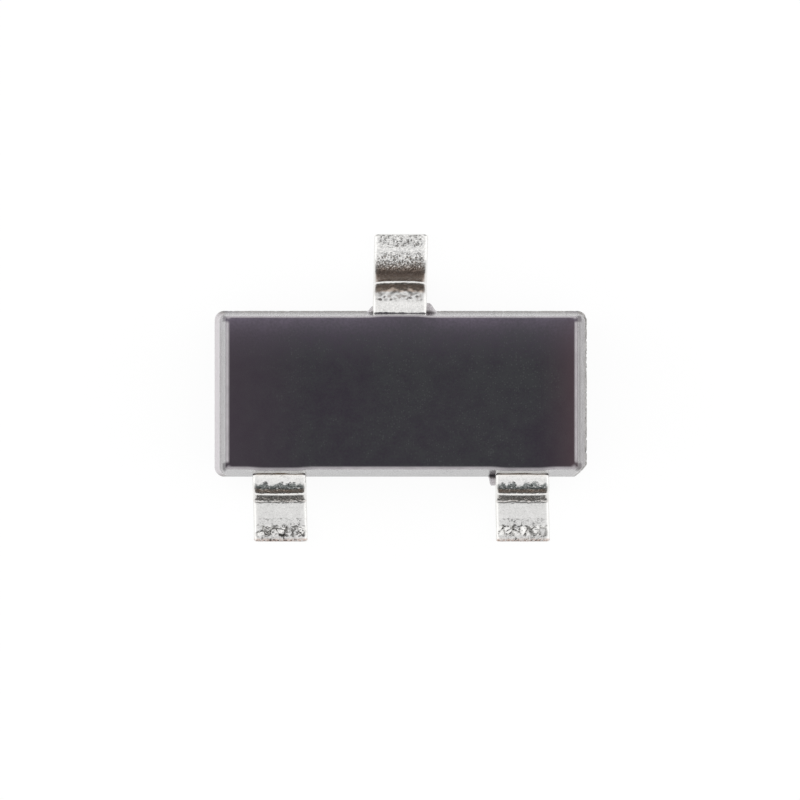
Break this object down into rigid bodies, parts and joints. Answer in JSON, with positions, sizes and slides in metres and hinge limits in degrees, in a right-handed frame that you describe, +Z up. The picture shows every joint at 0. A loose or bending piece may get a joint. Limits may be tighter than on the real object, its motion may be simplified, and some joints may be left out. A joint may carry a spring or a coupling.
{
  "type": "sot-23 transistor",
  "caption": "Surface-mount transistor: a drafted black epoxy block with flat gull-wing tinned leads on its two long sides, for switching or amplifying small signals.",
  "frame": {"origin": "on the solder plane under the feet, midway between the tips of the leads and midway along the body", "axes": "+X along the body from the base lead's side to the emitter lead's side, +Y towards the collector lead, +Z up"},
  "size_m": [0.0028, 0.0024, 0.001],
  "materials": {
    "moulding_epoxy": "fine matte skin of a mineral-filled epoxy moulding",
    "tinned_lead": "matte tin plating on copper alloy, bare copper at the sheared tips",
    "silicon": "polished silicon",
    "solder": "dull solder film",
    "gold_wire": "bright gold wire"
  },
  "bodies": {
    "root": {"body": "moulding_epoxy", "collector_lead": "tinned_lead", "base_lead": "tinned_lead", "emitter_lead": "tinned_lead", "chip": "silicon", "chip_solder": "solder", "base_wire": "gold_wire", "emitter_wire": "gold_wire"}
  },
  "joints": []
}
